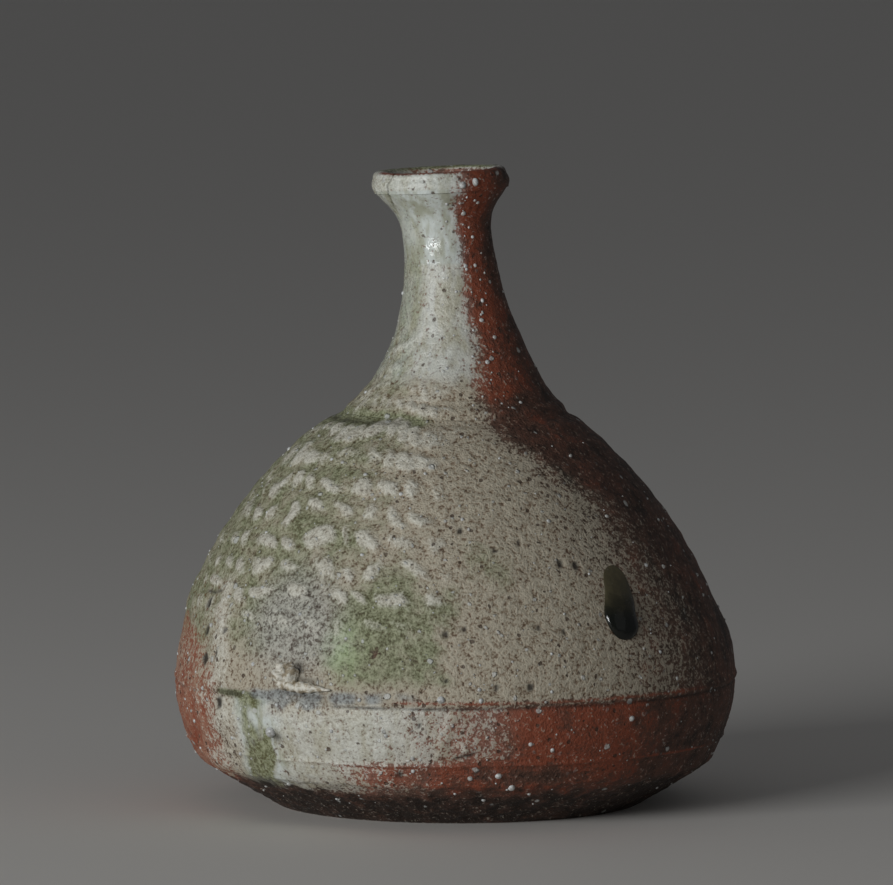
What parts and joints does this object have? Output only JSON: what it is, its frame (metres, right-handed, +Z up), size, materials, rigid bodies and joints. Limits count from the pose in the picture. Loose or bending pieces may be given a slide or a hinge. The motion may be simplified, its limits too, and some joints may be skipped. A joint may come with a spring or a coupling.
{
  "type": "sake bottle",
  "caption": "Round-bellied stoneware sake bottle with a narrow leaning neck, a banded flared mouth and a natural ash glaze.",
  "frame": {"origin": "centre of the foot, on the table", "axes": "+Z up; the bottle's front is -Y and its neck leans towards -X"},
  "size_m": [0.12, 0.12, 0.1364],
  "materials": {
    "scorched_clay": "rough fired clay, scorched dark brown",
    "fire_clay": "fired clay with red flashing and a cream ash skin",
    "ash_glazed_clay": "green-grey and beige natural ash glaze over coarse clay",
    "neck_clay": "glossy cream-grey ash glaze on one side, bare red clay on the other",
    "mouth_clay": "cream ash glaze turning to bare red clay",
    "natural_glass": "thick dark green natural glass",
    "glaze_run": "glossy green run of natural glaze",
    "kiln_debris": "rough fused kiln debris",
    "pebble": "pale fused pebble",
    "feldspar": "half-melted white feldspar"
  },
  "bodies": {
    "root": {"base_bowl": "scorched_clay", "lower_belt": "fire_clay", "shoulder": "ash_glazed_clay", "neck": "neck_clay", "mouth_band": "mouth_clay", "glass_drop": "natural_glass", "glaze_run": "glaze_run", "debris_lump": "kiln_debris", "debris_sliver": "kiln_debris", "side_pebble": "pebble", "feldspar_grains": "feldspar"}
  },
  "joints": []
}
